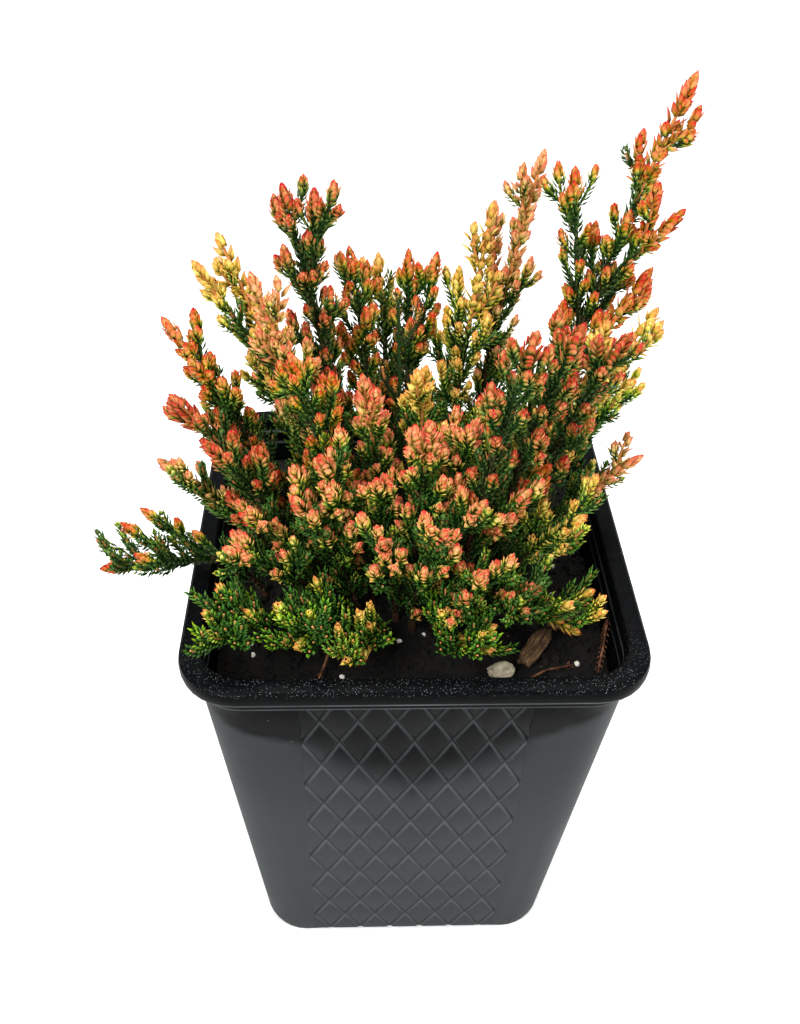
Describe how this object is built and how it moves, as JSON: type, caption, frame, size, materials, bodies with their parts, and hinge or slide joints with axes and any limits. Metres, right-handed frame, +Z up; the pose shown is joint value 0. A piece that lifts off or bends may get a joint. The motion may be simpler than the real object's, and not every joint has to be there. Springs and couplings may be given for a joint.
{
  "type": "potted plant",
  "caption": "Bushy foliage heather with coral, orange and yellow shoot tips over dark green scale leaves, growing in a square black nursery pot with quilted sides.",
  "frame": {"origin": "centre of the pot's flat underside, on the surface it stands on", "axes": "+Z up through the pot's mouth, -Y out of the pot's front wall, +X to the right of the front wall"},
  "size_m": [0.1389, 0.108, 0.234],
  "materials": {
    "pot_plastic": "satin moulded plastic, lightly dusty",
    "potting_soil": "crumbly peat and bark mix",
    "bark": "rough bark",
    "pale_stone": "rough stone",
    "heather_ember": "leafy shoot, deep green below, orange-red tips",
    "heather_scarlet": "leafy shoot, deep green below, red tips",
    "heather_coral": "leafy shoot, deep green below, coral-pink tips",
    "heather_peach": "leafy shoot, pale orange upper part",
    "heather_gold": "leafy shoot, yellow upper part",
    "heather_lime": "leafy shoot, green with lime tips",
    "heather_bare": "leafless brown twig"
  },
  "bodies": {
    "root": {"pot": "pot_plastic", "soil": "potting_soil", "bark_chip_front": "bark", "bark_chip_back": "bark", "pale_stone": "pale_stone", "tall_right": "heather_ember", "back_pale": "heather_peach", "back_yellow": "heather_gold", "back_pair": "heather_ember", "left_tall": "heather_scarlet", "left_gold": "heather_gold", "left_edge": "heather_ember", "left_red": "heather_scarlet", "left_maroon": "heather_scarlet", "left_thin": "heather_peach", "rim_creeper": "heather_ember", "corner_mat": "heather_lime", "corner_coral": "heather_coral", "left_coral": "heather_coral", "left_mid": "heather_peach", "left_front": "heather_ember", "leaning_coral": "heather_coral", "back_green": "heather_ember", "back_left_gold": "heather_gold", "bare_twig": "heather_bare", "mid_gold": "heather_gold", "front_coral": "heather_coral", "front_coral_right": "heather_coral", "front_coral_left": "heather_coral", "front_left": "heather_coral", "front_star": "heather_coral", "mid_yellow": "heather_gold", "near_red": "heather_scarlet", "near_red_right": "heather_scarlet", "near_rose": "heather_scarlet", "right_ember": "heather_ember", "right_gold": "heather_gold", "right_low": "heather_peach", "right_green": "heather_lime", "front_gold": "heather_gold", "right_coral": "heather_ember", "front_right": "heather_coral", "front_stars": "heather_coral", "low_star": "heather_coral", "low_left": "heather_coral", "low_mid": "heather_coral", "low_right": "heather_coral", "front_mat": "heather_lime", "front_mat_left": "heather_lime", "soil_tip": "heather_gold", "soil_sprig": "heather_gold", "rear_left": "heather_coral", "rear_left_low": "heather_ember", "rear_middle": "heather_coral", "rear_middle_low": "heather_lime", "rear_right": "heather_ember", "rear_right_low": "heather_coral", "rear_corner": "heather_ember"}
  },
  "joints": []
}
